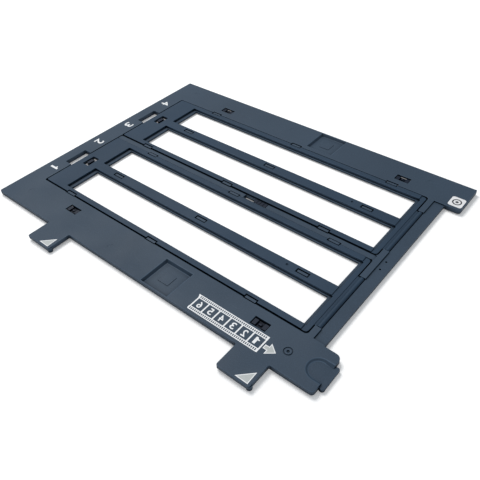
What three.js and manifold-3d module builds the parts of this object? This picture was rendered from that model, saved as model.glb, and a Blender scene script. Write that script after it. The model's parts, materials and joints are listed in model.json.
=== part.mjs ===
// Flatbed scanner negative carrier for four strips of 35 mm film, as a three.js scene graph.
//
// Units are millimetres, +Z is up. Plan positions are written from a datum at the front left
// corner of strip 1's window: +X runs along the strips to the hinge side, +Y runs to the back.
// The whole group is then shifted so that the origin is the centre of the carrier's footprint,
// on the surface it stands on.

import * as THREE from 'three';
import { mergeVertices } from 'three/addons/utils/BufferGeometryUtils.js';
import Module from 'manifold-3d';

const wasm = await Module();
wasm.setup();

// ---------------------------------------------------------------- heights
const TOP = 4.6;                 // top face of the frame and of the closed covers
const WALL_FOOT = 0.9;           // lower edge of the frame's walls, held up by the feet
const SKIN = 1.5;                // thickness of the frame's top plate and of a cover
const SKIN_UNDER = TOP - SKIN;
const BED_TOP = 2.6;             // face the film lies on
const BED_UNDER = 1.5;
const FILM_RIB_TOP = 2.9;        // low ribs that keep each strip of film in its lane
const HINGE_BAR_TOP = TOP - 1.0; // sunk bar that clears an open cover
const MIDDLE_BAR_TOP = TOP - 0.6;
const TAB_UNDER = TOP - 3.2;
const CUT = 1.0;                 // how far a cutter runs past the face it opens
const OVERRUN = 0.05;            // how far two joined or cut bodies run into each other
const COARSE_SIDES = 12;         // sides of small, ordinary and large round shapes
const SIDES = 24;
const FINE_SIDES = 40;

// ---------------------------------------------------------------- plan of the frame
const LEFT = -42;
const RIGHT = 257.5;
const FRONT = -36.8;
const BACK = 185.3;
const HINGE_BAR_RIGHT = 245.3;
const NOTCH_FRONT = -7;          // the right edge steps in between these two
const NOTCH_BACK = 154.4;
const WALL = 1.3;
const RIB = 1.1;
const CROSS_RIBS = { first: 8, pitch: 36, count: 7 };  // under the top plate, across the carrier
const SIDE_RIBS = [14, 50, 97, 133];                   // under the left margin
const TAB_FRONT = -55.2;
const TABS = [{ left: 22.8, right: 46.6 }, { left: 203.7, right: 228 }];
const PEG = { radius: 1.85, foot: 0.1, sink: 0.9, inset: 1.1 };
const TONGUE_RIGHT = 260.6;
const TONGUE = { front: -30.6, back: -13.5, root: 4, radius: 1.1 };

// ---------------------------------------------------------------- film lanes and windows
const LANE_PITCH = 38;           // 35 mm film and a 3 mm divider
const COVER_PITCH = 83;          // front cover to rear cover
const COVERS = [{ name: 'front', y: 0 }, { name: 'rear', y: COVER_PITCH }];
const LANES = [0, LANE_PITCH];
const COVER_WINDOW = { left: -3.3, right: 228.3, width: 29.2 };
const BED_WINDOW = { left: 0, right: 225.6, front: 1.1, width: 27 };
const WINDOW_RADIUS = 0.5;
const LANE_EDGE = 3;             // film lane edge, in front of the window's near edge
const FILM_WIDTH = 35.4;
const LANE_LEFT = -5;
const LANE_RIGHT = 229.6;

// ---------------------------------------------------------------- covers and their hinge
const COVER = { left: -23.6, right: 231.6, front: -4.6, back: 71.8 };
const COVER_RADIUS = { left: 1.4, right: 2.2 };
const GAP = { left: 0.9, front: 1.4, back: 0.5 };
const RIM_STEP = { left: 227.3, drop: 0.6 };   // hinge side rim of a cover sits lower
const LIP = { width: 1.2, drop: 0.3, radius: 0.8 };   // pressing lip around each cover window
const KNUCKLE = { left: 232.7, right: 237.2, gap: 0.3 };
const BARREL = { front: 3.2, back: 53.8, radius: 1.85 };
const HINGE = { x: 235, z: TOP - BARREL.radius };
const WEB = { left: 229.6, under: SKIN_UNDER, top: SKIN_UNDER + 0.6 };
const PIN_RADIUS = 0.92;
const BARREL_BORE = 1.0;
const FRAME_BORE = 0.97;
const PIN_REACH = 5;             // how far a pin stands out of its barrel
const PIN_SNAP = { width: 1.5, spare: 0.5 };   // slot under each bore that a pin snaps in through
const HINGE_POCKET = { front: 2, back: 150.4, skin: 1.4 };   // hollow under the hinge bar

// ---------------------------------------------------------------- film guides
const GUIDE = { length: 8.4, width: 2.2, top: TOP - 0.25 };
const GUIDE_CLEAR = 0.75;
const GUIDE_ROWS = [{ y: -4.5, x: 8 }, { y: 33.9, x: 21 }, { y: 72, x: 21 }];
const GUIDES_IN_ROW = { count: 3, pitch: 90.5 };

// ---------------------------------------------------------------- finger slots and latches
const FINGER_SLOT = { left: -31.8, right: -22.9, front: 20.5, back: 41.5, radius: 0.8 };
const LATCH_HOLE = { left: -18, right: -11, front: 27.5, back: 39.5, radius: 0.6 };
const LATCH_WELL = 0.5;          // the frame's opening under it is this much larger all round
const LATCH = { left: -16.6, right: -12, front: 30.2, back: 36.9, top: TOP - 0.5 };
const LATCH_ARM = { thick: 0.9, post: 1.4, reach: 0.4 };
const LATCH_NOSE = { reach: 1.2, thick: 1.1, inset: 0.6, right: 1.6 };
const LATCH_CHEEK = { width: 1, drop: 0.5 };
const LATCH_PIVOT = { x: -11.2, z: 2.05 };

// ---------------------------------------------------------------- height feet
const FEET = [
  { name: 'front_left', x: 26, y: -16.5 },
  { name: 'front_right', x: 206, y: -16.5 },
  { name: 'rear_left', x: 26, y: 165.3 },
  { name: 'rear_right', x: 206, y: 165.3 },
];
const FOOT_SLOT = { length: 11.6, width: 6.4 };
const FOOT_PAD = { length: 15, width: 9.4, top: 1.4, radius: 1.2, clear: 1.2 };
const FOOT_NECK = { length: 10.8, width: 5.6, top: SKIN_UNDER - 0.3 };
const FOOT_PRONG = { length: 3, width: 4.6, inset: 0.4, top: TOP - 0.6 };
const FOOT_POINTER = { length: 2.2, width: 1.4, top: TOP - 0.9 };
const SLIDER_SLOT = { left: 119.5, right: 141, front: 73, back: 77.2, ledge: 0.6 };
const SLIDER = { length: 11.4, gap: 0.3, top: TOP - 0.75, pad: 0.9, padWidth: 8, stem: 1.8 };
const SLIDER_STEM_INSET = 0.9;
const SLIDER_GRIPS = { count: 3, width: 0.6, depth: 0.25 };

// ---------------------------------------------------------------- grips, dimples, label
const THUMB_BAYS = [
  { left: 121, right: 145.6, front: FRONT + 1.1, back: -11 },
  { left: 119, right: 143.6, front: 160, back: BACK - 1.0 },
];
const BAY = { floor: 2.4, under: 1.2, slope: 1.6, steep: 0.2, pad: 8.8, padRise: 0.3 };
const SCOOP = { x: 252, y: -22, radius: 7.9, floorRadius: 5.8, shallow: 0.8, deep: 1.5 };
const GATE_MARK = { x: 231, y: -22.6, ring: 3, boss: 2.3, ringDepth: 0.5, dot: 0.9, dotDepth: 0.8 };
const EJECTOR_MARKS = [[81, -27], [-20, -22], [-20, 172], [95, 173], [225, 173]];
const EJECTOR = { radius: 2.6, depth: 0.08 };
const BAR_DOTS = [68, 76.5];
const BAR_DOT = { x: 240, radius: 0.7, depth: 1 };
const COVER_DOT = { x: 189.3, y: 34, radius: 0.9, depth: 0.6 };
const LABEL = { left: 246, right: 256.6, front: 156.8, back: 168.4, radius: 1.8, thick: 0.12 };
const LABEL_RECESS = 0.16;
const LABEL_GAP = 0.15;

// ---------------------------------------------------------------- footprint
const CENTRE_X = (LEFT + TONGUE_RIGHT) / 2;
const CENTRE_Y = (TAB_FRONT + BACK) / 2;

// ================================================================ materials
function plastic(color, roughness) {
  return new THREE.MeshStandardMaterial({ color, roughness, metalness: 0 });
}
const FRAME_PLASTIC = plastic(0x485462, 0.62);
const COVER_PLASTIC = plastic(0x465160, 0.6);
const CLIP_PLASTIC = plastic(0x343c47, 0.55);
const LABEL_PAPER = plastic(0xe9ebec, 0.7);
const PIN_STEEL = new THREE.MeshStandardMaterial({ color: 0xb4b8bc, roughness: 0.35, metalness: 1 });

// ================================================================ solids
function solid(geometry) {
  const bare = geometry.clone();
  bare.deleteAttribute('normal');
  bare.deleteAttribute('uv');
  const merged = mergeVertices(bare, 1e-5);
  return new wasm.Manifold(new wasm.Mesh({
    numProp: 3,
    vertProperties: new Float32Array(merged.attributes.position.array),
    triVerts: new Uint32Array(merged.index.array),
  }));
}

function mesh(name, body, material) {
  const data = body.getMesh();
  const geometry = new THREE.BufferGeometry();
  geometry.setAttribute('position', new THREE.BufferAttribute(new Float32Array(data.vertProperties), 3));
  geometry.setIndex(new THREE.BufferAttribute(new Uint32Array(data.triVerts), 1));
  geometry.computeVertexNormals();
  const result = new THREE.Mesh(geometry, material);
  result.name = name;
  return result;
}

function block(x0, x1, y0, y1, z0, z1) {
  const geometry = new THREE.BoxGeometry(x1 - x0, y1 - y0, z1 - z0);
  geometry.translate((x0 + x1) / 2, (y0 + y1) / 2, (z0 + z1) / 2);
  return solid(geometry);
}

function centredBlock(x, y, length, width, z0, z1) {
  return block(x - length / 2, x + length / 2, y - width / 2, y + width / 2, z0, z1);
}

function post(x, y, radius, z0, z1, sides = SIDES) {
  const geometry = new THREE.CylinderGeometry(radius, radius, z1 - z0, sides);
  geometry.rotateX(Math.PI / 2);
  geometry.translate(x, y, (z0 + z1) / 2);
  return solid(geometry);
}

function rodAlongY(x, z, radius, y0, y1) {
  const geometry = new THREE.CylinderGeometry(radius, radius, y1 - y0, SIDES);
  geometry.translate(x, (y0 + y1) / 2, z);
  return solid(geometry);
}

// A closed outline through right-angled corners [x, y, radius], each rounded by an arc.
function outline(corners) {
  const shape = new THREE.Shape();
  corners.forEach(([x, y, radius], index) => {
    const [px, py] = corners[(index + corners.length - 1) % corners.length];
    const [nx, ny] = corners[(index + 1) % corners.length];
    const inward = new THREE.Vector2(x - px, y - py).normalize();
    const onward = new THREE.Vector2(nx - x, ny - y).normalize();
    const start = new THREE.Vector2(x, y).addScaledVector(inward, -radius);
    const centre = start.clone().addScaledVector(onward, radius);
    const turnsLeft = inward.cross(onward) > 0;
    const from = Math.atan2(start.y - centre.y, start.x - centre.x);
    const to = from + (turnsLeft ? Math.PI / 2 : -Math.PI / 2);
    if (index === 0) {
      shape.moveTo(start.x, start.y);
    } else {
      shape.lineTo(start.x, start.y);
    }
    shape.absarc(centre.x, centre.y, radius, from, to, !turnsLeft);
  });
  shape.closePath();
  return shape;
}

// The same outline moved inwards by a distance (corners run anticlockwise).
function inset(corners, distance) {
  return corners.map(([x, y, radius], index) => {
    const [px, py] = corners[(index + corners.length - 1) % corners.length];
    const [nx, ny] = corners[(index + 1) % corners.length];
    const before = new THREE.Vector2(x - px, y - py).normalize();
    const after = new THREE.Vector2(nx - x, ny - y).normalize();
    const turnsLeft = before.cross(after) > 0;
    const moved = new THREE.Vector2(x, y)
      .addScaledVector(new THREE.Vector2(-before.y, before.x), distance)
      .addScaledVector(new THREE.Vector2(-after.y, after.x), distance);
    const kept = turnsLeft ? Math.max(radius - distance, 0.3) : radius + distance;
    return [moved.x, moved.y, kept];
  });
}

function slab(corners, z0, z1) {
  const geometry = new THREE.ExtrudeGeometry(outline(corners), {
    depth: z1 - z0, bevelEnabled: false, curveSegments: 5,
  });
  geometry.translate(0, 0, z0);
  return solid(geometry);
}

function box2(x0, x1, y0, y1, radius) {
  return [[x0, y0, radius], [x1, y0, radius], [x1, y1, radius], [x0, y1, radius]];
}

function frustum(lower, upper, z0, z1) {
  const levels = [[lower, z0], [upper, z1]];
  const points = levels.flatMap(([[x0, x1, y0, y1], z]) => [x0, y0, z, x1, y0, z, x1, y1, z, x0, y1, z]);
  const faces = [0, 2, 1, 0, 3, 2, 4, 5, 6, 4, 6, 7];
  for (let side = 0; side < 4; side += 1) {
    const next = (side + 1) % 4;
    faces.push(side, next, next + 4, side, next + 4, side + 4);
  }
  return new wasm.Manifold(new wasm.Mesh({
    numProp: 3, vertProperties: new Float32Array(points), triVerts: new Uint32Array(faces),
  }));
}

function joined(bodies) {
  return bodies.reduce((sum, body) => sum.add(body));
}

// ================================================================ frame
const FRAME_OUTLINE = [
  [LEFT, FRONT, 1],
  [TABS[0].left, FRONT, 0.6],
  [TABS[0].left, TAB_FRONT, 0.8],
  [TABS[0].right, TAB_FRONT, 1.2],
  [TABS[0].right, FRONT, 1],
  [TABS[1].left, FRONT, 0.6],
  [TABS[1].left, TAB_FRONT, 1.6],
  [TABS[1].right, TAB_FRONT, 1.2],
  [TABS[1].right, FRONT, 1],
  [RIGHT, FRONT, 2.2],
  [RIGHT, NOTCH_FRONT, 3.5],
  [HINGE_BAR_RIGHT, NOTCH_FRONT, 0.6],
  [HINGE_BAR_RIGHT, NOTCH_BACK, 0.8],
  [RIGHT, NOTCH_BACK, 2.4],
  [RIGHT, BACK, 0.6],
  [LEFT, BACK, 1],
];

// The recess that a cover closes into.
const TRAY = {
  left: COVER.left - GAP.left,
  right: KNUCKLE.left,
  front: COVER.front - GAP.front,
  back: COVER.back + GAP.back,
};

function trayCorners(y) {
  const { left, right } = COVER_RADIUS;
  return [
    [TRAY.left, y + TRAY.front, left], [TRAY.right, y + TRAY.front, right],
    [TRAY.right, y + TRAY.back, right], [TRAY.left, y + TRAY.back, left],
  ];
}

function undersideHollows() {
  const trays = block(
    TRAY.left - WALL, RIGHT + CUT, TRAY.front - WALL, COVER_PITCH + TRAY.back + WALL, 0, TOP,
  );
  const tabs = block(LEFT, RIGHT, TAB_FRONT - CUT, FRONT, -CUT, TOP);
  let hollow = slab(inset(FRAME_OUTLINE, WALL), -CUT, SKIN_UNDER).subtract(trays).subtract(tabs);
  const collars = COVERS.map((cover) => block(
    FINGER_SLOT.left - WALL, TRAY.left,
    cover.y + FINGER_SLOT.front - WALL, cover.y + FINGER_SLOT.back + WALL, -CUT, TOP,
  ));
  hollow = hollow.subtract(joined(collars));
  for (let index = 0; index < CROSS_RIBS.count; index += 1) {
    const x = CROSS_RIBS.first + index * CROSS_RIBS.pitch;
    hollow = hollow.subtract(block(x, x + RIB, FRONT, BACK, -CUT, TOP));
  }
  for (const y of SIDE_RIBS) {
    hollow = hollow.subtract(block(LEFT, COVER.left, y, y + RIB, -CUT, TOP));
  }
  const length = FOOT_PAD.length + 2 * FOOT_PAD.clear;
  const width = FOOT_PAD.width + 2 * FOOT_PAD.clear;
  const footWells = FEET.map((foot) => centredBlock(foot.x, foot.y, length, width, -CUT, SKIN_UNDER));
  return hollow.add(joined(footWells));
}

// Shallow pockets under the film bed, which leave a down-turned rim around each window.
function bedHollows() {
  const { left, right, front, width } = BED_WINDOW;
  const pockets = COVERS.flatMap((cover) => {
    const edges = [cover.y + COVER.front];
    for (const lane of LANES) {
      edges.push(cover.y + lane + front, cover.y + lane + front + width);
    }
    edges.push(cover.y + COVER.back);
    const strips = [0, 2, 4].map((index) => block(
      left, right, edges[index] + WALL, edges[index + 1] - WALL, -CUT, BED_UNDER,
    ));
    const margin = block(
      COVER.left + WALL, left - WALL, edges[0] + WALL, edges[5] - WALL, -CUT, BED_UNDER,
    );
    return [...strips, margin];
  });
  return joined(pockets);
}

function filmLanes(y) {
  return joined(LANES.map((lane) => block(
    LANE_LEFT, LANE_RIGHT, y + lane - LANE_EDGE, y + lane - LANE_EDGE + FILM_WIDTH, BED_TOP, TOP,
  )));
}

function guideCentres(y) {
  return GUIDE_ROWS.flatMap((row) => Array.from(
    { length: GUIDES_IN_ROW.count },
    (_, index) => [row.x + index * GUIDES_IN_ROW.pitch, y + row.y],
  ));
}

// A film guide: a block beside the film that stands up through a notch in the closed cover.
function filmGuide([x, y]) {
  return centredBlock(x, y, GUIDE.length, GUIDE.width, BED_UNDER, GUIDE.top);
}

function guideNotch([x, y]) {
  const length = GUIDE.length + 2 * GUIDE_CLEAR;
  const width = GUIDE.width + 2 * GUIDE_CLEAR;
  return centredBlock(x, y, length, width, FILM_RIB_TOP, TOP + CUT);
}

function hingeCuts(y) {
  const barrel = block(
    TRAY.right - CUT, KNUCKLE.right,
    y + BARREL.front - KNUCKLE.gap, y + BARREL.back + KNUCKLE.gap, 0, TOP + CUT,
  );
  const y0 = y + BARREL.front - PIN_REACH - PIN_SNAP.spare;
  const y1 = y + BARREL.back + PIN_REACH + PIN_SNAP.spare;
  const bore = rodAlongY(HINGE.x, HINGE.z, FRAME_BORE, y0, y1);
  const snap = block(
    HINGE.x - PIN_SNAP.width / 2, HINGE.x + PIN_SNAP.width / 2, y0, y1, 0, HINGE.z,
  );
  return barrel.add(bore).add(snap);
}

function thumbBayBody(bay) {
  const y0 = Math.max(bay.front - WALL, FRONT);
  const y1 = Math.min(bay.back + WALL, BACK);
  return block(bay.left - WALL, bay.right + WALL, y0, y1, BAY.under, TOP);
}

function thumbBayCut(bay) {
  const { left, right, front, back } = bay;
  const floor = [left + BAY.slope, right - BAY.slope, front + BAY.steep, back - BAY.slope];
  const cut = frustum(floor, [left, right, front, back], BAY.floor, TOP);
  return cut.add(block(left, right, front, back, TOP, TOP + CUT));
}

function thumbBayPad(bay) {
  const x = (bay.left + bay.right) / 2;
  const y = (bay.front + bay.back) / 2;
  return centredBlock(x, y, BAY.pad, BAY.pad, BAY.under, BAY.floor + BAY.padRise);
}

// Finger scoop: a round-ended dish whose floor falls to the tongue on the right edge.
function scoopCut() {
  const { x, y, radius, floorRadius, shallow, deep } = SCOOP;
  const open = TOP + CUT;
  const floor = TOP - deep;
  const flare = (radius - floorRadius) / (TOP - floor);
  const openRadius = radius + flare * CUT;
  const bowl = new THREE.CylinderGeometry(openRadius, floorRadius, open - floor, FINE_SIDES);
  bowl.rotateX(Math.PI / 2);
  bowl.translate(x, y, (open + floor) / 2);
  const end = TONGUE_RIGHT + CUT;
  const mouth = frustum(
    [x, end, y - floorRadius, y + floorRadius], [x, end, y - openRadius, y + openRadius], floor, open,
  );
  const left = x - radius - CUT;
  const profile = new THREE.Shape();
  profile.moveTo(left, TOP - shallow);
  profile.lineTo(RIGHT, floor);
  profile.lineTo(end, floor);
  profile.lineTo(end, open);
  profile.lineTo(left, open);
  profile.closePath();
  const above = new THREE.ExtrudeGeometry(profile, { depth: 4 * radius, bevelEnabled: false });
  above.rotateX(Math.PI / 2);
  above.translate(0, y + 2 * radius, 0);
  return solid(bowl).add(mouth).intersect(solid(above));
}

function tongueBody() {
  const { front, back, root, radius } = TONGUE;
  const top = TOP - SCOOP.deep;
  const lip = slab(box2(RIGHT - root, TONGUE_RIGHT, front, back, radius), WALL_FOOT, top);
  const under = post(SCOOP.x, SCOOP.y, SCOOP.radius + WALL, WALL_FOOT, TOP, FINE_SIDES)
    .intersect(block(LEFT, RIGHT, FRONT, NOTCH_FRONT, 0, TOP));
  const peg = post(TONGUE_RIGHT - PEG.radius, front + PEG.inset, PEG.radius, PEG.foot, top);
  return joined([lip, under, peg]);
}

function tabPegs() {
  const y = TAB_FRONT + PEG.radius;
  return joined(TABS.map((tab) => post(tab.right - PEG.inset, y, PEG.radius, PEG.foot, TOP - PEG.sink)));
}

// Everything that stands on or in the top plate outside the covers.
function cutTopPlate(frame) {
  let body = frame.subtract(joined(THUMB_BAYS.map(thumbBayCut)));
  body = body.add(joined(THUMB_BAYS.map(thumbBayPad)));
  body = body.subtract(scoopCut());
  for (const foot of FEET) {
    body = body.subtract(centredBlock(foot.x, foot.y, FOOT_SLOT.length, FOOT_SLOT.width, 0, TOP + CUT));
  }
  const gate = GATE_MARK;
  const groove = post(gate.x, gate.y, gate.ring, TOP - gate.ringDepth, TOP + CUT)
    .subtract(post(gate.x, gate.y, gate.boss, 0, 2 * TOP));
  body = body.subtract(groove);
  body = body.subtract(post(gate.x, gate.y, gate.dot, TOP - gate.dotDepth, TOP + CUT, COARSE_SIDES));
  for (const [x, y] of EJECTOR_MARKS) {
    body = body.subtract(post(x, y, EJECTOR.radius, TOP - EJECTOR.depth, TOP + CUT));
  }
  for (const y of BAR_DOTS) {
    const floor = HINGE_BAR_TOP - BAR_DOT.depth;
    body = body.subtract(post(BAR_DOT.x, y, BAR_DOT.radius, floor, TOP + CUT, COARSE_SIDES));
  }
  const recess = box2(
    LABEL.left - LABEL_GAP, LABEL.right + LABEL_GAP,
    LABEL.front - LABEL_GAP, LABEL.back + LABEL_GAP, LABEL.radius + LABEL_GAP,
  );
  return body.subtract(slab(recess, TOP - LABEL_RECESS, TOP + CUT));
}

// What lies under one cover: tray, film lanes, guides, windows, hinge, finger slot, latch well.
function cutTray(frame, y) {
  const centres = guideCentres(y);
  let body = frame.subtract(joined(centres.map(guideNotch)));
  body = body.add(joined(centres.map(filmGuide)));
  for (const lane of LANES) {
    const y0 = y + lane + BED_WINDOW.front;
    const window = box2(
      BED_WINDOW.left, BED_WINDOW.right, y0, y0 + BED_WINDOW.width, WINDOW_RADIUS,
    );
    body = body.subtract(slab(window, 0, TOP));
  }
  body = body.subtract(hingeCuts(y));
  const slot = FINGER_SLOT;
  const finger = box2(slot.left, slot.right, y + slot.front, y + slot.back, slot.radius);
  body = body.subtract(slab(finger, 0, TOP + CUT));
  const hole = LATCH_HOLE;
  return body.subtract(block(
    hole.left - LATCH_WELL, hole.right + LATCH_WELL,
    y + hole.front - LATCH_WELL, y + hole.back + LATCH_WELL, 0, TOP,
  ));
}

// The middle height slider's slot: a shallow track, a slit for its stem and a well for its pad.
function sliderCuts() {
  const { left, right, front, back, ledge } = SLIDER_SLOT;
  const middle = (front + back) / 2;
  const stem = SLIDER.stem / 2 + SLIDER.gap;
  const pad = SLIDER.padWidth / 2 + SLIDER.gap;
  return joined([
    block(left, right, front, back, BED_TOP, TOP + CUT),
    block(left + ledge, right - ledge, middle - stem, middle + stem, 0, TOP),
    block(left - ledge, right + ledge, middle - pad, middle + pad, 0, BED_UNDER),
  ]);
}

function baseFrame() {
  let body = slab(FRAME_OUTLINE, WALL_FOOT, TOP);
  body = body.subtract(block(LEFT, RIGHT, TAB_FRONT - CUT, FRONT, 0, TAB_UNDER));
  body = body.subtract(undersideHollows());
  body = body.add(joined(THUMB_BAYS.map(thumbBayBody))).add(tongueBody()).add(tabPegs());
  for (const cover of COVERS) {
    body = body.subtract(slab(trayCorners(cover.y), FILM_RIB_TOP, TOP + CUT));
    body = body.subtract(filmLanes(cover.y));
  }
  const middleBar = block(
    TRAY.left, TRAY.right, TRAY.back - OVERRUN, COVER_PITCH + TRAY.front + OVERRUN,
    MIDDLE_BAR_TOP, TOP + CUT,
  );
  const hingeBar = block(
    KNUCKLE.right, HINGE_BAR_RIGHT + CUT, TRAY.front, NOTCH_BACK, HINGE_BAR_TOP, TOP + CUT,
  );
  const hingePocket = block(
    KNUCKLE.right + WALL, HINGE_BAR_RIGHT - WALL, HINGE_POCKET.front, HINGE_POCKET.back,
    0, HINGE_BAR_TOP - HINGE_POCKET.skin,
  );
  body = body.subtract(joined([middleBar, hingeBar, hingePocket, bedHollows()]));
  for (const cover of COVERS) {
    body = cutTray(body, cover.y);
  }
  return cutTopPlate(body.subtract(sliderCuts()));
}

// ================================================================ covers
function coverPlate(y) {
  const { left, right } = COVER_RADIUS;
  const plate = slab([
    [COVER.left, y + COVER.front, left], [COVER.right, y + COVER.front, right],
    [COVER.right, y + COVER.back, right], [COVER.left, y + COVER.back, left],
  ], SKIN_UNDER, TOP);
  return plate.subtract(block(
    RIM_STEP.left, COVER.right + CUT, y + COVER.front - CUT, y + COVER.back + CUT,
    TOP - RIM_STEP.drop, TOP + CUT,
  ));
}

function coverBody(y) {
  const { left, right, width } = COVER_WINDOW;
  let body = coverPlate(y);
  for (const lane of LANES) {
    const lip = box2(
      left - LIP.width, right + LIP.width,
      y + lane - LIP.width, y + lane + width + LIP.width, LIP.radius,
    );
    body = body.add(slab(lip, SKIN_UNDER - LIP.drop, SKIN_UNDER + OVERRUN));
  }
  for (const lane of LANES) {
    const window = box2(left, right, y + lane, y + lane + width, WINDOW_RADIUS);
    body = body.subtract(slab(window, 0, TOP + CUT));
  }
  body = body.subtract(joined(guideCentres(y).map(guideNotch)));
  const hole = LATCH_HOLE;
  const opening = box2(hole.left, hole.right, y + hole.front, y + hole.back, hole.radius);
  body = body.subtract(slab(opening, 0, TOP + CUT));
  const dot = COVER_DOT;
  body = body.subtract(post(dot.x, y + dot.y, dot.radius, TOP - dot.depth, TOP + CUT, COARSE_SIDES));

  const y0 = y + BARREL.front;
  const y1 = y + BARREL.back;
  const barrel = rodAlongY(HINGE.x, HINGE.z, BARREL.radius, y0, y1);
  const web = block(WEB.left, HINGE.x, y0, y1, WEB.under, WEB.top);
  const bore = rodAlongY(HINGE.x, HINGE.z, BARREL_BORE, y0 - CUT, y1 + CUT);
  return body.add(barrel).add(web).subtract(bore);
}

function hingePin(y) {
  const y0 = y + BARREL.front - PIN_REACH;
  const y1 = y + BARREL.back + PIN_REACH;
  return rodAlongY(HINGE.x, HINGE.z, PIN_RADIUS, y0, y1);
}

// ================================================================ latches
// A springy arm in the frame, with a post, a nose and a cheek that stand in the cover's opening.
function latchBody(y) {
  const armUnder = LATCH_PIVOT.z - LATCH_ARM.thick / 2;
  const armTop = LATCH_PIVOT.z + LATCH_ARM.thick / 2;
  const postLeft = LATCH.left + LATCH_NOSE.reach;
  const y0 = y + LATCH.front;
  const y1 = y + LATCH.back;
  const inner = y1 - LATCH_NOSE.inset;
  return joined([
    block(postLeft, LATCH_PIVOT.x + LATCH_ARM.reach, y0, y1, armUnder, armTop),
    block(postLeft, postLeft + LATCH_ARM.post, y0, y1, armUnder, LATCH.top),
    block(
      LATCH.left, LATCH.right - LATCH_NOSE.right, y0 + LATCH_NOSE.inset, inner,
      LATCH.top - LATCH_NOSE.thick, LATCH.top,
    ),
    block(
      postLeft, LATCH.right, inner - LATCH_CHEEK.width, inner,
      armUnder, LATCH.top - LATCH_CHEEK.drop,
    ),
  ]);
}

// ================================================================ feet
function footBody({ x, y }) {
  const { length, width, top, radius } = FOOT_PAD;
  const pad = slab(
    box2(x - length / 2, x + length / 2, y - width / 2, y + width / 2, radius), 0, top,
  );
  const neck = centredBlock(x, y, FOOT_NECK.length, FOOT_NECK.width, top, FOOT_NECK.top);
  const reach = FOOT_SLOT.length / 2 - FOOT_PRONG.inset - FOOT_PRONG.length / 2;
  const prongs = [-reach, reach].map((offset) => centredBlock(
    x + offset, y, FOOT_PRONG.length, FOOT_PRONG.width, top, FOOT_PRONG.top,
  ));
  const pointer = centredBlock(x, y, FOOT_POINTER.length, FOOT_POINTER.width, top, FOOT_POINTER.top);
  return joined([pad, neck, ...prongs, pointer]);
}

function sliderBody() {
  const { front, back } = SLIDER_SLOT;
  const { length, gap, top, stem, pad, padWidth } = SLIDER;
  const right = SLIDER_SLOT.right - gap;
  const left = right - length;
  const middle = (front + back) / 2;
  const inset = SLIDER_STEM_INSET;
  const knob = block(left, right, front + gap, back - gap, BED_TOP + gap, top);
  const neck = block(
    left + inset, right - inset, middle - stem / 2, middle + stem / 2, 0, BED_TOP + 2 * gap,
  );
  const foot = slab(
    box2(left, right - inset, middle - padWidth / 2, middle + padWidth / 2, FOOT_PAD.radius), 0, pad,
  );
  const grips = Array.from({ length: SLIDER_GRIPS.count }, (_, index) => centredBlock(
    left + length * (index + 1) / (SLIDER_GRIPS.count + 1), middle,
    SLIDER_GRIPS.width, back - front, top - SLIDER_GRIPS.depth, TOP,
  ));
  return joined([knob, neck, foot]).subtract(joined(grips));
}

function labelBody() {
  const { left, right, front, back, radius, thick } = LABEL;
  const floor = TOP - LABEL_RECESS;
  return slab(box2(left, right, front, back, radius), floor, floor + thick);
}

// ================================================================ assembly
const carrier = new THREE.Group();
carrier.add(mesh('base_frame', baseFrame(), FRAME_PLASTIC));
for (const cover of COVERS) {
  carrier.add(mesh(`${cover.name}_cover`, coverBody(cover.y), COVER_PLASTIC));
  carrier.add(mesh(`${cover.name}_hinge_pin`, hingePin(cover.y), PIN_STEEL));
  carrier.add(mesh(`${cover.name}_cover_latch`, latchBody(cover.y), CLIP_PLASTIC));
}
for (const foot of FEET) {
  carrier.add(mesh(`${foot.name}_height_foot`, footBody(foot), CLIP_PLASTIC));
}
carrier.add(mesh('middle_height_slider', sliderBody(), CLIP_PLASTIC));
carrier.add(mesh('corner_label', labelBody(), LABEL_PAPER));
carrier.position.set(-CENTRE_X, -CENTRE_Y, 0);

export default carrier;
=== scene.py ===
"""The looks of a flatbed scanner's negative carrier for four strips of 35 mm film.

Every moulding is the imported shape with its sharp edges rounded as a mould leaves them. The
steel pins are drawn wire with chamfered ends. Strip numbers, the film strip drawing, the
arrow and the two tab triangles are ink printed on the frame, and a round mark is printed on
the corner label. The object's lengths are in millimetres until they are scaled by MM, and
those of the camera, the lights and the floor are in metres.
"""

import json
import math

import bmesh
import bpy
from mathutils import Matrix, Vector
from mathutils.bvhtree import BVHTree
from mathutils.geometry import closest_point_on_tri, intersect_point_line, intersect_ray_tri

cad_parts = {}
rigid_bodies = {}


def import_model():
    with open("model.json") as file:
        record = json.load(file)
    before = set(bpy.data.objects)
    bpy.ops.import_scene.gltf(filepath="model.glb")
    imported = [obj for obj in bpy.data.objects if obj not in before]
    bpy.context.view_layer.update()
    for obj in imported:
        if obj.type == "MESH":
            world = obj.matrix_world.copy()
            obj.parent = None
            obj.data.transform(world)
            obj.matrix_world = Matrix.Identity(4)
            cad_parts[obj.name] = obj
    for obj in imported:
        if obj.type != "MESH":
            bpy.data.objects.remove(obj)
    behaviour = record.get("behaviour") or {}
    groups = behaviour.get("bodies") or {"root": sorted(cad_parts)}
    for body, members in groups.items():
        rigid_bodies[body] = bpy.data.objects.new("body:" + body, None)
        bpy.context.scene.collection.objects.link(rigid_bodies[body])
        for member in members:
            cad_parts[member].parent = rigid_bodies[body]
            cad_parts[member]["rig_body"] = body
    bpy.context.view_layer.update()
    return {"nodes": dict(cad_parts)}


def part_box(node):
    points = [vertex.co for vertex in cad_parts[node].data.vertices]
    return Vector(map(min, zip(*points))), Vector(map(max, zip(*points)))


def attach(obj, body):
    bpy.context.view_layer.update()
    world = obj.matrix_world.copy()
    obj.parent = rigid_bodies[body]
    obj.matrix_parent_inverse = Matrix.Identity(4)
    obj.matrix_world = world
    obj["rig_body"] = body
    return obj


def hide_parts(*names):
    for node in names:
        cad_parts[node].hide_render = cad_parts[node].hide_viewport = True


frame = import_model()

MM = 0.001

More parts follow.
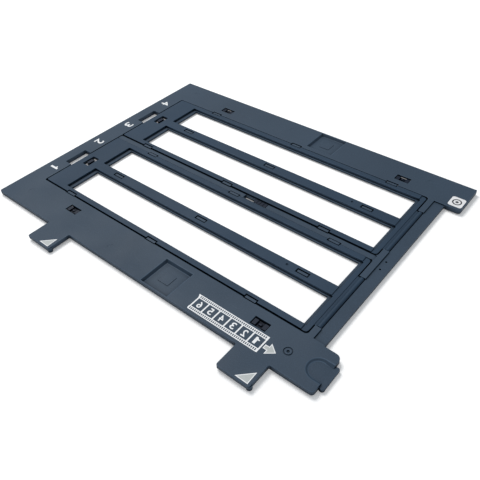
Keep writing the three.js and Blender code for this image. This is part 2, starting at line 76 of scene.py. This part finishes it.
# ---------------------------------------------------------------- camera
CAMERA_AT = Vector((0.2289, -0.2460, 0.2679))
CAMERA_AZIMUTH = math.radians(41.42)
CAMERA_ELEVATION = math.radians(42.64)
CAMERA_ROLL = math.radians(-2.93)
LENS = 41.5

# ---------------------------------------------------------------- light (watts) and floor
WORLD_COLOUR = (0.9, 0.95, 1.0)
WORLD_STRENGTH = 0.43
KEY = {"at": (-0.84, 0.28, 1.47), "size": 0.8, "power": 21, "colour": (1.0, 0.98, 0.95)}
FILL = {"at": (0.5, -0.75, 0.8), "size": 0.6, "power": 0.8, "colour": (1, 1, 1)}
FLOOR_Z = -0.05 * MM             # just under the feet
FLOOR_REACH = 12
FLOOR_COLOUR = (0.93, 0.93, 0.935)
FLOOR_GLOW = 0.2

# ---------------------------------------------------------------- colours
FRAME_BLUE = (0.0305, 0.0525, 0.083)
COVER_BLUE = (0.0195, 0.041, 0.072)
CLIP_BLUE = (0.005, 0.011, 0.026)
WHITE_INK = (0.82, 0.84, 0.86)
GREY_INK = (0.44, 0.47, 0.47)
DARK_INK = (0.03, 0.035, 0.045)
PAPER_WHITE = (0.8, 0.81, 0.83)
STEEL = (0.6, 0.61, 0.63)
WORN_AND_HIGHLIT = 1.6                       # how much paler a rounded edge is than the plastic: rubbed wear and a painted highlight
PAINTED_SHADE_REACH = 5 * MM            # how far off a wall the painted shade in a recess reaches
# how dark the painted shade in a recess goes, as a share of the plastic's colour
PAINTED_SHADE_LEVEL = 0.12
INK_ROUGHNESS = 0.5

# ---------------------------------------------------------------- rounded edges
SHARP = math.radians(30)
CURVED = math.radians(4)         # turn from one edge to the next along an arc
FLAT = math.radians(0.6)
MERGE = 0.002 * MM
TOUCH = 0.02 * MM
FRAME_EDGE = 0.34
COVER_EDGE = 0.3
CLIP_EDGE = 0.18
PAPER_EDGE = 0.04
LEAST_EDGE = 0.03 * MM
ROUNDING_STEPS = 2
ATTEMPTS = 10
SHRINK = 0.6                     # what each attempt leaves of a rounding that runs into another
FLAT_FACE = 0                    # material slots while the roundings are made
ROUNDING = 1
PIN_CHAMFER = 0.25 * MM
PIN_SIDES = 48

# ---------------------------------------------------------------- printed marks
INK = 0.03                       # thickness of a printed mark, two thirds of it above the face
WINDOW_FROM_COVER = Vector((23.6, 4.6))      # front cover's corner to strip 1's window
NUMBER_X = -32.4
NUMBER_YS = (9.7, 57.8)
NUMBER_HEIGHT = 8.2
NUMBER_WIDTH = 5.9
ONE_WIDTH = 3.2
FONT_SWELL = 0.014               # makes the built-in font's digits bold
ONE = [
    (0.42, 0), (0.74, 0), (0.74, 1), (0.5, 1), (0.45, 0.87), (0.34, 0.79), (0.2, 0.76),
    (0.2, 0.62), (0.42, 0.62),
]
FILM = {"left": 162.0, "right": 217.0, "front": -34.5, "back": -21.2}
FILM_BAND = 2.8                  # perforated band along each side of the film drawing
FILM_FRAMES = 6
FILM_BAR = 0.95                  # line between two frames
FILM_NUMBER = {"height": 5.2, "width": 3.2}
PERFORATION = {"first": 0.9, "pitch": 1.4, "width": 0.82, "length": 1.6}
ARROW = [
    (217.9, -29.8), (220.7, -29.8), (220.7, -32.7), (226.4, -28.2),
    (220.7, -24.0), (220.7, -26.7), (217.9, -26.7),
]
TRIANGLE = [(-9.0, -9.0), (0.3, -9.1), (0, 0)]
TRIANGLES = {"left_tab_mark": (44.0, -44.9), "right_tab_mark": (225.9, -44.9)}
MARK_BORDER = 0.5
LABEL_RING = {"outside": 3.6, "inside": 2.6}
LABEL_DOT = 1.2


def use(node, name, value):
    node.inputs[name].default_value = value


# ================================================================ stage
def make_camera():
    data = bpy.data.cameras.new("camera")
    data.lens = LENS
    data.clip_start = 0.01
    data.clip_end = 20
    camera = bpy.data.objects.new("camera", data)
    turn = (
        Matrix.Rotation(CAMERA_AZIMUTH, 4, "Z")
        @ Matrix.Rotation(math.pi / 2 - CAMERA_ELEVATION, 4, "X")
        @ Matrix.Rotation(CAMERA_ROLL, 4, "Z")
    )
    camera.matrix_world = Matrix.Translation(CAMERA_AT) @ turn
    bpy.context.scene.collection.objects.link(camera)
    bpy.context.scene.camera = camera


def area_light(name, at, size, power, colour):
    """A round light that faces the origin."""
    data = bpy.data.lights.new(name, "AREA")
    data.shape = "DISK"
    data.size = size
    data.energy = power
    data.color = colour
    light = bpy.data.objects.new(name, data)
    at = Vector(at)
    facing = (-at).to_track_quat("-Z", "Y").to_matrix().to_4x4()
    light.matrix_world = Matrix.Translation(at) @ facing
    bpy.context.scene.collection.objects.link(light)


def make_stage():
    world = bpy.data.worlds.new("studio")
    world.use_nodes = True
    background = world.node_tree.nodes["Background"]
    use(background, "Color", (*WORLD_COLOUR, 1))
    use(background, "Strength", WORLD_STRENGTH)
    bpy.context.scene.world = world

    area_light("key", **KEY)
    area_light("fill", **FILL)

    mesh = bpy.data.meshes.new("floor")
    corners = rectangle(-FLOOR_REACH, FLOOR_REACH, -FLOOR_REACH, FLOOR_REACH)
    mesh.from_pydata([(x, y, FLOOR_Z) for x, y in corners], [], [(0, 1, 2, 3)])
    floor = bpy.data.objects.new("floor", mesh)
    bpy.context.scene.collection.objects.link(floor)
    paper = bpy.data.materials.new("floor_paper")
    paper.use_nodes = True
    shader = paper.node_tree.nodes["Principled BSDF"]
    use(shader, "Base Color", (*FLOOR_COLOUR, 1))
    use(shader, "Roughness", 0.9)
    use(shader, "Emission Color", (1, 1, 1, 1))
    use(shader, "Emission Strength", FLOOR_GLOW)
    mesh.materials.append(paper)


# ================================================================ materials
class Nodes:
    """Adds nodes to a material's tree and links them by name."""

    def __init__(self, name):
        self.material = bpy.data.materials.new(name)
        self.material.use_nodes = True
        self.tree = self.material.node_tree
        self.shader = self.tree.nodes["Principled BSDF"]
        self.place = self.tree.nodes.new("ShaderNodeTexCoord").outputs["Object"]

    def feed(self, socket, value):
        if isinstance(value, bpy.types.NodeSocket):
            self.tree.links.new(value, socket)
        else:
            socket.default_value = value

    def add(self, kind, **inputs):
        node = self.tree.nodes.new("ShaderNode" + kind)
        for name, value in inputs.items():
            self.feed(node.inputs[name], value)
        return node

    def stretched(self, scale):
        return self.add("Mapping", Vector=self.place, Scale=scale).outputs["Vector"]

    def noise(self, scale, detail=2.0, roughness=0.5, place=None):
        return self.add(
            "TexNoise", Vector=place or self.place, Scale=scale, Detail=detail, Roughness=roughness,
        ).outputs["Fac"]

    def ramp(self, value, low, high, to_low, to_high):
        node = self.add("MapRange", Value=value)
        use(node, "From Min", low)
        use(node, "From Max", high)
        use(node, "To Min", to_low)
        use(node, "To Max", to_high)
        return node.outputs["Result"]

    def maths(self, operation, first, second):
        node = self.add("Math")
        node.operation = operation
        self.feed(node.inputs[0], first)
        self.feed(node.inputs[1], second)
        return node.outputs["Value"]

    def mix(self, factor, first, second):
        """One colour where the factor is 0 and the other where it is 1."""
        node = self.add("Mix", Factor=factor)
        node.data_type = "RGBA"
        colours = [socket for socket in node.inputs if socket.type == "RGBA"]
        self.feed(colours[0], first)
        self.feed(colours[1], second)
        return next(socket for socket in node.outputs if socket.type == "RGBA")

    def bump(self, height, strength, distance, under=None):
        node = self.add("Bump", Height=height, Strength=strength, Distance=distance)
        if under is not None:
            self.tree.links.new(under, node.inputs["Normal"])
        return node.outputs["Normal"]

    def finish(self, colour, roughness, normal):
        self.tree.links.new(colour, self.shader.inputs["Base Color"])
        self.tree.links.new(roughness, self.shader.inputs["Roughness"])
        self.tree.links.new(normal, self.shader.inputs["Normal"])
        return self.material


def shade(colour, factor):
    return (*(channel * factor for channel in colour), 1)


def moulded_plastic(name, colour, roughness, grain, gloss):
    """Spark-eroded plastic: fine grain, faint flow clouding, edges rubbed paler and smoother and made
    paler still by a painted highlight, and painted shade that darkens recesses and weakens their
    reflection.
    """
    m = Nodes(name)
    cloud = m.ramp(m.noise(14, 3), 0.3, 0.7, 0.0, 1.0)
    speckle = m.noise(1500, 3, 0.6)
    body = m.mix(cloud, shade(colour, 0.88), shade(colour, 1.1))
    body = m.mix(m.ramp(speckle, 0.45, 0.7, 0.0, 0.5), body, shade(colour, 1.5))
    scuff = m.noise(90, 5, 0.65, m.stretched((1.0, 5.0, 1.0)))
    rubbed = m.ramp(scuff, 0.6, 0.78, 0.0, 0.5)
    body = m.mix(m.maths("MULTIPLY", rubbed, 0.6), body, shade(colour, 1.45))
    # Rounded edges are made paler, broken up by noise: partly rubbed wear, partly a painted highlight
    # along them.
    edge = m.add("Attribute")
    edge.attribute_name = "edge"
    wear_and_highlight = m.maths("MULTIPLY", edge.outputs["Fac"], m.ramp(m.noise(160, 4), 0.3, 0.62, 0.35, 1.0))
    body = m.mix(wear_and_highlight, body, shade(colour, WORN_AND_HIGHLIT))
    # Painted shade: near walls and in recesses the colour is darkened and the reflection weakened, by
    # an ambient occlusion mask.
    hollow = m.add("AmbientOcclusion", Distance=PAINTED_SHADE_REACH)
    hollow.samples = 8
    unshaded_share = m.ramp(hollow.outputs["AO"], 0.38, 0.96, 0.0, 1.0)
    body = m.mix(unshaded_share, shade(colour, PAINTED_SHADE_LEVEL), body)
    m.tree.links.new(m.ramp(unshaded_share, 0.0, 1.0, 0.02, gloss), m.shader.inputs["Specular IOR Level"])
    rough = m.ramp(m.noise(35, 4), 0.3, 0.7, roughness - 0.05, roughness + 0.05)
    rough = m.maths("SUBTRACT", rough, m.maths("MULTIPLY", wear_and_highlight, 0.14))
    rough = m.maths("SUBTRACT", rough, m.maths("MULTIPLY", rubbed, 0.1))
    pits = m.bump(m.noise(2600, 2, 0.6), grain, 0.02 * MM)
    waves = m.bump(m.noise(26, 1), 0.05, 0.4 * MM, pits)
    return m.finish(body, rough, waves)


def printed_ink(name, colour):
    """Pad-printed ink: thin, a little uneven, with the plastic's grain showing through."""
    m = Nodes(name)
    thin = m.ramp(m.noise(1500, 3, 0.6), 0.52, 0.8, 0.0, 0.35)
    body = m.mix(thin, shade(colour, 1.0), shade(colour, 0.72))
    body = m.mix(m.ramp(m.noise(240, 2), 0.35, 0.7, 0.0, 0.3), body, shade(colour, 0.93))
    rough = m.ramp(m.noise(900, 2), 0.3, 0.7, INK_ROUGHNESS - 0.06, INK_ROUGHNESS + 0.08)
    return m.finish(body, rough, m.bump(m.noise(2600, 2, 0.6), 0.12, 0.02 * MM))


def label_paper(name, colour):
    """Coated paper: faint fibres and a soft satin face."""
    m = Nodes(name)
    fibre = m.noise(700, 4, 0.7, m.stretched((1.0, 0.25, 1.0)))
    body = m.mix(m.ramp(fibre, 0.35, 0.7, 0.0, 1.0), shade(colour, 0.96), shade(colour, 1.02))
    rough = m.ramp(fibre, 0.3, 0.7, 0.5, 0.6)
    return m.finish(body, rough, m.bump(fibre, 0.08, 0.02 * MM))


def drawn_steel(name, colour):
    """Drawn wire: fine lines along its length and uneven brightness."""
    m = Nodes(name)
    use(m.shader, "Metallic", 1.0)
    lines = m.noise(3200, 3, 0.6, m.stretched((1.0, 0.02, 1.0)))
    body = m.mix(m.ramp(lines, 0.35, 0.65, 0.0, 1.0), shade(colour, 0.82), shade(colour, 1.05))
    rough = m.ramp(m.noise(120, 3), 0.3, 0.7, 0.24, 0.38)
    return m.finish(body, rough, m.bump(lines, 0.25, 0.01 * MM))


# ================================================================ rounded mouldings
def is_sharp(edge):
    return len(edge.link_faces) == 2 and edge.calc_face_angle(0) > SHARP


def next_sharp(edge, vert):
    """The sharp edge that carries on from this one at a vertex, if there is just one."""
    others = [other for other in vert.link_edges if other is not edge and is_sharp(other)]
    return others[0] if len(others) == 1 else None


def turn_between(edge, other, vert):
    inward = vert.co - edge.other_vert(vert).co
    onward = other.other_vert(vert).co - vert.co
    return inward.angle(onward, 0)


def room_beside(tree, edge, reach):
    """How far the faces beside an edge run before another wall or the far side is met."""
    room = reach
    low, high = (vert.co for vert in edge.verts)
    for loop in edge.link_loops:
        normal = loop.face.normal
        inward = normal.cross(loop.link_loop_next.vert.co - loop.vert.co).normalized()
        for share in (0.12, 0.5, 0.88):
            for side in (-1, 1):
                start = low.lerp(high, share) + inward * 0.004 * MM + normal * side * 0.012 * MM
                distance = tree.ray_cast(start, inward, reach)[3]
                room = min(room, reach if distance is None else distance)
    return room


def in_hollow(tree, edge):
    """Whether an edge lies in the ribbed underside, closed in by walls and with no face looking up."""
    if any(face.normal.z > 0.5 for face in edge.link_faces):
        return False
    middle = (edge.verts[0].co + edge.verts[1].co) / 2
    for face in edge.link_faces:
        if abs(face.normal.z) < 0.5:
            inside = face.calc_center_median() - middle
            start = middle + inside.normalized() * 0.05 * MM + face.normal * 0.01 * MM
            if tree.ray_cast(start, face.normal)[3] is None:
                return False
    return True


def runs_out(edge):
    """Whether an inner corner runs out at an outer edge, where a rounding would climb up it."""
    if edge.is_convex:
        return False
    around = {other for vert in edge.verts for other in vert.link_edges}
    return any(is_sharp(other) and other.is_convex for other in around)


def edge_width(tree, edge, widest):
    """The rounding that fits on an edge: less on thin walls, short steps and tight arcs."""
    if in_hollow(tree, edge) or runs_out(edge):
        return 0
    width = min(widest, 0.42 * room_beside(tree, edge, 2.5 * widest))
    length = edge.calc_length()
    corners = 0
    for vert in edge.verts:
        other = next_sharp(edge, vert)
        turn = turn_between(edge, other, vert) if other else math.pi
        if turn > SHARP:
            corners += 1
        elif turn > CURVED:
            radius = min(length, other.calc_length()) / (2 * math.sin(turn / 2))
            width = min(width, 0.75 * radius)
    if corners:
        width = min(width, length * (0.42 if corners == 2 else 0.8))
    return width


def evaluated(piece):
    depsgraph = bpy.context.evaluated_depsgraph_get()
    return bpy.data.meshes.new_from_object(piece.evaluated_get(depsgraph))


def meeting_points(one, two):
    """Points where two triangles touch or pass through each other."""
    points = []
    for first, second in ((one, two), (two, one)):
        corners = [vert.co for vert in second.verts]
        for vert in first.verts:
            if (closest_point_on_tri(vert.co, *corners) - vert.co).length < TOUCH:
                points.append(vert.co.copy())
        for edge in first.edges:
            start, end = (vert.co for vert in edge.verts)
            hit = intersect_ray_tri(*corners, end - start, start, True)
            if hit and (hit - start).length < (end - start).length:
                points.append(hit)
    return points


def crossing_points(mesh, spacing):
    """Where faces run through each other, thinned out to one point in each small cell."""
    bm = bmesh.new()
    bm.from_mesh(mesh)
    bmesh.ops.triangulate(bm, faces=bm.faces)
    bm.faces.ensure_lookup_table()
    tree = BVHTree.FromBMesh(bm)
    points = {}
    for first, second in tree.overlap(tree):
        if first < second:
            one, two = bm.faces[first], bm.faces[second]
            if not set(one.verts) & set(two.verts):
                for point in meeting_points(one, two):
                    points[tuple(round(value / spacing) for value in point)] = point
    bm.free()
    return list(points.values())


def near(points, edge, reach):
    """Whether any of the points lies within reach of the edge."""
    low, high = (vert.co for vert in edge.verts)
    for point in points:
        share = intersect_point_line(point, low, high)[1]
        foot = low.lerp(high, min(max(share, 0), 1))
        if (point - foot).length < reach:
            return True
    return False


def joined_faces(node):
    """The node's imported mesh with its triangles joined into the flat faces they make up."""
    bm = bmesh.new()
    bm.from_mesh(frame["nodes"][node].data)
    bmesh.ops.remove_doubles(bm, verts=bm.verts, dist=MERGE)
    bmesh.ops.dissolve_limit(
        bm, angle_limit=FLAT, use_dissolve_boundaries=False, verts=bm.verts, edges=bm.edges,
        delimit=set(),
    )
    return bm


def rounding_modifier(piece, widest):
    bevel = piece.modifiers.new("rounding", "BEVEL")
    bevel.width = widest
    bevel.segments = ROUNDING_STEPS
    bevel.limit_method = "WEIGHT"
    bevel.offset_type = "OFFSET"
    bevel.use_clamp_overlap = False
    bevel.loop_slide = False
    bevel.material = ROUNDING


def rounded(node, widest):
    """The node's mesh with its sharp edges rounded, less where roundings would meet."""
    bm = joined_faces(node)
    tree = BVHTree.FromBMesh(bm)
    weight = bm.edges.layers.float.new("bevel_weight_edge")
    edges = [edge for edge in bm.edges if is_sharp(edge)]
    for edge in edges:
        width = edge_width(tree, edge, widest)
        edge[weight] = width / widest if width > LEAST_EDGE else 0
    mesh = bpy.data.meshes.new(node + "_moulding")
    for name in ("flat", "rounding"):
        mesh.materials.append(bpy.data.materials.new(name))
    piece = bpy.data.objects.new(node + "_moulding", mesh)
    bpy.context.scene.collection.objects.link(piece)
    rounding_modifier(piece, widest)
    for attempt in range(ATTEMPTS):
        bm.to_mesh(mesh)
        result = evaluated(piece)
        points = crossing_points(result, widest)
        if not points:
            break
        for edge in edges:
            if edge[weight] and near(points, edge, (1.5 + 0.5 * attempt) * widest):
                width = edge[weight] * widest * SHRINK
                edge[weight] = width / widest if width > LEAST_EDGE and attempt < ATTEMPTS / 2 else 0
    bm.free()
    piece.modifiers.clear()
    piece.data = result
    return piece


def mark_edges(piece):
    """Keeps which faces are roundings as an attribute, for the wear and the painted highlight along
    them.
    """
    mesh = piece.data
    edge = mesh.attributes.new("edge", "FLOAT", "FACE")
    edge.data.foreach_set("value", [float(face.material_index == ROUNDING) for face in mesh.polygons])
    mesh.polygons.foreach_set("material_index", [FLAT_FACE] * len(mesh.polygons))


def alike(faces, face, limit):
    return [other for other in faces if other.normal.angle(face.normal, 0) < limit]


def shading_normal(loop):
    """A flat face keeps its own direction, and a rounding starts from the faces beside it."""
    face = loop.face
    flats = [other for other in loop.vert.link_faces if other.material_index == FLAT_FACE]
    around = alike(flats, face, SHARP)
    if face.material_index == ROUNDING:
        around = alike(loop.vert.link_faces, face, SHARP)
        nearest = min(flats, key=lambda other: other.normal.angle(face.normal, 0), default=None)
        if nearest is None:
            around = alike(loop.vert.link_faces, face, 2 * SHARP)
        elif nearest.normal.angle(face.normal, 0) < 2 * SHARP:
            around = alike(flats, nearest, SHARP)
    total = Vector()
    for other in around:
        total += other.normal * other.calc_area()
    return total.normalized() if total.length else face.normal


def shade_smooth(piece):
    bm = bmesh.new()
    bm.from_mesh(piece.data)
    normals = [shading_normal(loop) for face in bm.faces for loop in face.loops]
    bm.free()
    piece.data.polygons.foreach_set("use_smooth", [True] * len(piece.data.polygons))
    piece.data.normals_split_custom_set(normals)


def moulding(node, material, widest):
    """The node's rounded mesh, which rides its body and is shown in the node's place."""
    piece = rounded(node, widest * MM)
    shade_smooth(piece)
    mark_edges(piece)
    piece.data.materials.clear()
    piece.data.materials.append(material)
    body = frame["nodes"][node]["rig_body"]
    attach(piece, body)
    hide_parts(node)
    return piece


# ================================================================ hinge pins
def hinge_pin(node, material):
    """Drawn steel wire with a chamfer at each end."""
    low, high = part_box(node)
    radius = (high.z - low.z) / 2
    rings = [
        (low.y, radius - PIN_CHAMFER), (low.y + PIN_CHAMFER, radius),
        (high.y - PIN_CHAMFER, radius), (high.y, radius - PIN_CHAMFER),
    ]
    bm = bmesh.new()
    loops = []
    for y, size in rings:
        loops.append([
            bm.verts.new((
                (low.x + high.x) / 2 + size * math.cos(2 * math.pi * side / PIN_SIDES), y,
                (low.z + high.z) / 2 + size * math.sin(2 * math.pi * side / PIN_SIDES),
            ))
            for side in range(PIN_SIDES)
        ])
    for first, second in zip(loops, loops[1:]):
        for side in range(PIN_SIDES):
            after = (side + 1) % PIN_SIDES
            bm.faces.new((first[side], second[side], second[after], first[after]))
    bm.faces.new(loops[0])
    bm.faces.new(reversed(loops[-1]))
    bmesh.ops.recalc_face_normals(bm, faces=bm.faces)
    mesh = bpy.data.meshes.new(node + "_wire")
    bm.to_mesh(mesh)
    bm.free()
    mesh.materials.append(material)
    mesh.polygons.foreach_set("use_smooth", [True] * len(mesh.polygons))
    mesh.set_sharp_from_angle(angle=SHARP)
    piece = bpy.data.objects.new(node + "_wire", mesh)
    bpy.context.scene.collection.objects.link(piece)
    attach(piece, frame["nodes"][node]["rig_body"])
    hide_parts(node)
    return piece


# ================================================================ printed marks
FACE_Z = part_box("base_frame")[1].z / MM
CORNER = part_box("front_cover")[0].xy / MM + WINDOW_FROM_COVER


def filled_curve(name, outlines, scale):
    """A level curve filled between its outlines, as thick as the ink."""
    curve = bpy.data.curves.new(name, "CURVE")
    curve.dimensions = "2D"
    curve.fill_mode = "BOTH"
    curve.extrude = INK / 2 * MM
    for outline in outlines:
        spline = curve.splines.new("POLY")
        spline.points.add(len(outline) - 1)
        for point, (x, y) in zip(spline.points, outline):
            point.co = (x * scale, y * scale, 0, 1)
        spline.use_cyclic_u = True
    return curve


def printed(name, outlines, material, face=FACE_Z, at=CORNER):
    """Ink on a level face: outlines in millimetres, where one inside another is a hole."""
    moved = [[(at.x + x, at.y + y) for x, y in outline] for outline in outlines]
    return settle(name, filled_curve(name, moved, MM), material, face)


def settle(name, curve, material, face, place=None):
    """Turns a filled curve into a closed mesh that lies on a face of the frame."""
    shape = bpy.data.objects.new(name, curve)
    bpy.context.scene.collection.objects.link(shape)
    bpy.context.view_layer.update()
    mesh = evaluated(shape)
    bpy.data.objects.remove(shape)
    if place is not None:
        mesh.transform(place)
        if place.determinant() < 0:
            mesh.flip_normals()
    mesh.transform(Matrix.Translation((0, 0, (face + INK / 6) * MM)))
    bm = bmesh.new()
    bm.from_mesh(mesh)
    bmesh.ops.remove_doubles(bm, verts=bm.verts, dist=MERGE)
    bmesh.ops.recalc_face_normals(bm, faces=bm.faces)
    bm.to_mesh(mesh)
    bm.free()
    mesh.materials.clear()
    mesh.materials.append(material)
    piece = bpy.data.objects.new(name, mesh)
    bpy.context.scene.collection.objects.link(piece)
    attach(piece, "frame")
    return piece


def digit(name, text, centre, height, width, turn, material, mirrored=False):
    """A plain bold digit, sized by its own outline and turned about its middle."""
    if text == "1":
        curve = filled_curve(name, [ONE], 1)
    else:
        curve = bpy.data.curves.new(name, "FONT")
        curve.body = text
        curve.offset = FONT_SWELL
        curve.extrude = INK / 2 * MM
    shape = bpy.data.objects.new(name + "_shape", curve)
    bpy.context.scene.collection.objects.link(shape)
    bpy.context.view_layer.update()
    corners = [Vector(corner) for corner in shape.bound_box]
    low = Vector((min(c.x for c in corners), min(c.y for c in corners), 0))
    high = Vector((max(c.x for c in corners), max(c.y for c in corners), 0))
    bpy.data.objects.remove(shape)
    middle = (low + high) / 2
    across = width * MM / (high.x - low.x) * (-1 if mirrored else 1)
    up = height * MM / (high.y - low.y)
    spot = Vector(((CORNER.x + centre[0]) * MM, (CORNER.y + centre[1]) * MM, 0))
    place = (
        Matrix.Translation(spot) @ Matrix.Rotation(turn, 4, "Z")
        @ Matrix.Diagonal((across, up, 1, 1)) @ Matrix.Translation(-middle)
    )
    return settle(name, curve, material, FACE_Z, place)


def rectangle(left, right, front, back):
    return [(left, front), (right, front), (right, back), (left, back)]


def circle(radius, sides):
    turns = [2 * math.pi * side / sides for side in range(sides)]
    return [(radius * math.cos(turn), radius * math.sin(turn)) for turn in turns]


def drawn_in(outline, distance):
    """An anticlockwise outline moved inwards, its corners kept sharp."""
    moved = []
    count = len(outline)
    for index in range(count):
        before, here, after = (Vector(outline[(index + step) % count]) for step in (-1, 0, 1))
        first = (here - before).normalized()
        second = (after - here).normalized()
        across = Vector((-first.y, first.x)) + Vector((-second.y, second.x))
        across /= 1 + first.dot(second)
        moved.append(tuple(here + across * distance))
    return moved


FRAME_PITCH = (FILM["right"] - FILM["left"] - FILM_BAR) / FILM_FRAMES


def film_outlines():
    """A strip of film with six frames, a row of perforations each side, and a cut left end."""
    left, right, front, back = (FILM[side] for side in ("left", "right", "front", "back"))
    outlines = [[
        (left + 0.2, front), (right, front), (right, back), (left - 1.3, back),
        (left - 0.5, back - 1.5), (left, back - FILM_BAND), (left, front + FILM_BAND),
        (left - 0.3, front + 1.4),
    ]]
    for index in range(FILM_FRAMES):
        start = left + FILM_BAR + index * FRAME_PITCH
        end = start + FRAME_PITCH - FILM_BAR
        outlines.append(rectangle(start, end, front + FILM_BAND, back - FILM_BAND))
    count = int((right - left - 1.0) / PERFORATION["pitch"])
    half = PERFORATION["length"] / 2
    for middle in (front + FILM_BAND / 2, back - FILM_BAND / 2):
        for index in range(count):
            x = left + PERFORATION["first"] + index * PERFORATION["pitch"]
            outlines.append(rectangle(x, x + PERFORATION["width"], middle - half, middle + half))
    return outlines


def make_film_drawing(ink):
    """The film strip drawing with its frames numbered as they look through the film's back."""
    printed("film_drawing", film_outlines(), ink)
    y = (FILM["front"] + FILM["back"]) / 2
    for index in range(FILM_FRAMES):
        x = FILM["left"] + FILM_BAR / 2 + (index + 0.5) * FRAME_PITCH
        number = FILM_FRAMES - index
        digit(
            f"film_number_{number}", str(number), (x, y),
            FILM_NUMBER["height"], FILM_NUMBER["width"], 0, ink, mirrored=True,
        )


def bordered_mark(name, outline, ink, tint):
    """A white outline round a pale grey fill."""
    inner = drawn_in(outline, MARK_BORDER)
    printed(name + "_border", [outline, inner], ink)
    printed(name + "_fill", [inner], tint)


def make_marks(ink, tint):
    """Everything printed on the frame: strip numbers, film drawing, arrow and tab triangles."""
    for cover, start in (("front", 0), ("rear", 2)):
        y = (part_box(cover + "_cover")[0].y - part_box("front_cover")[0].y) / MM
        for index, offset in enumerate(NUMBER_YS):
            number = start + index + 1
            digit(
                f"strip_number_{number}", str(number), (NUMBER_X, y + offset),
                NUMBER_HEIGHT, NUMBER_WIDTH if number > 1 else ONE_WIDTH, -math.pi / 2, ink,
            )
    make_film_drawing(ink)
    bordered_mark("arrow_mark", ARROW, ink, tint)
    for name, (x, y) in TRIANGLES.items():
        bordered_mark(name, [(x + dx, y + dy) for dx, dy in TRIANGLE], ink, tint)


def make_label_mark(ink):
    """A plain ring and dot on the corner label."""
    low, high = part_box("corner_label")
    centre = (low + high).xy / 2 / MM
    ring = [circle(LABEL_RING["outside"], 48), circle(LABEL_RING["inside"], 48)]
    printed("label_ring", ring, ink, high.z / MM, centre)
    printed("label_dot", [circle(LABEL_DOT, 24)], ink, high.z / MM, centre)


# ================================================================ assembly
def main():
    make_camera()
    make_stage()
    bpy.context.scene.view_settings.view_transform = "Standard"

    frame_plastic = moulded_plastic("frame_plastic_look", FRAME_BLUE, 0.6, 0.5, 0.26)
    cover_plastic = moulded_plastic("cover_plastic_look", COVER_BLUE, 0.6, 0.45, 0.22)
    clip_plastic = moulded_plastic("clip_plastic_look", CLIP_BLUE, 0.5, 0.25, 0.2)
    white_ink = printed_ink("white_ink_look", WHITE_INK)
    grey_ink = printed_ink("grey_ink_look", GREY_INK)
    dark_ink = printed_ink("dark_ink_look", DARK_INK)
    paper = label_paper("label_paper_look", PAPER_WHITE)
    steel = drawn_steel("pin_steel_look", STEEL)

    moulding("base_frame", frame_plastic, FRAME_EDGE)
    for side in ("front", "rear"):
        moulding(side + "_cover", cover_plastic, COVER_EDGE)
        hinge_pin(side + "_hinge_pin", steel)
        moulding(side + "_cover_latch", clip_plastic, CLIP_EDGE)
    for place in ("front_left", "front_right", "rear_left", "rear_right"):
        moulding(place + "_height_foot", clip_plastic, CLIP_EDGE)
    moulding("middle_height_slider", clip_plastic, CLIP_EDGE)
    moulding("corner_label", paper, PAPER_EDGE)
    make_marks(white_ink, grey_ink)
    make_label_mark(dark_ink)


main()
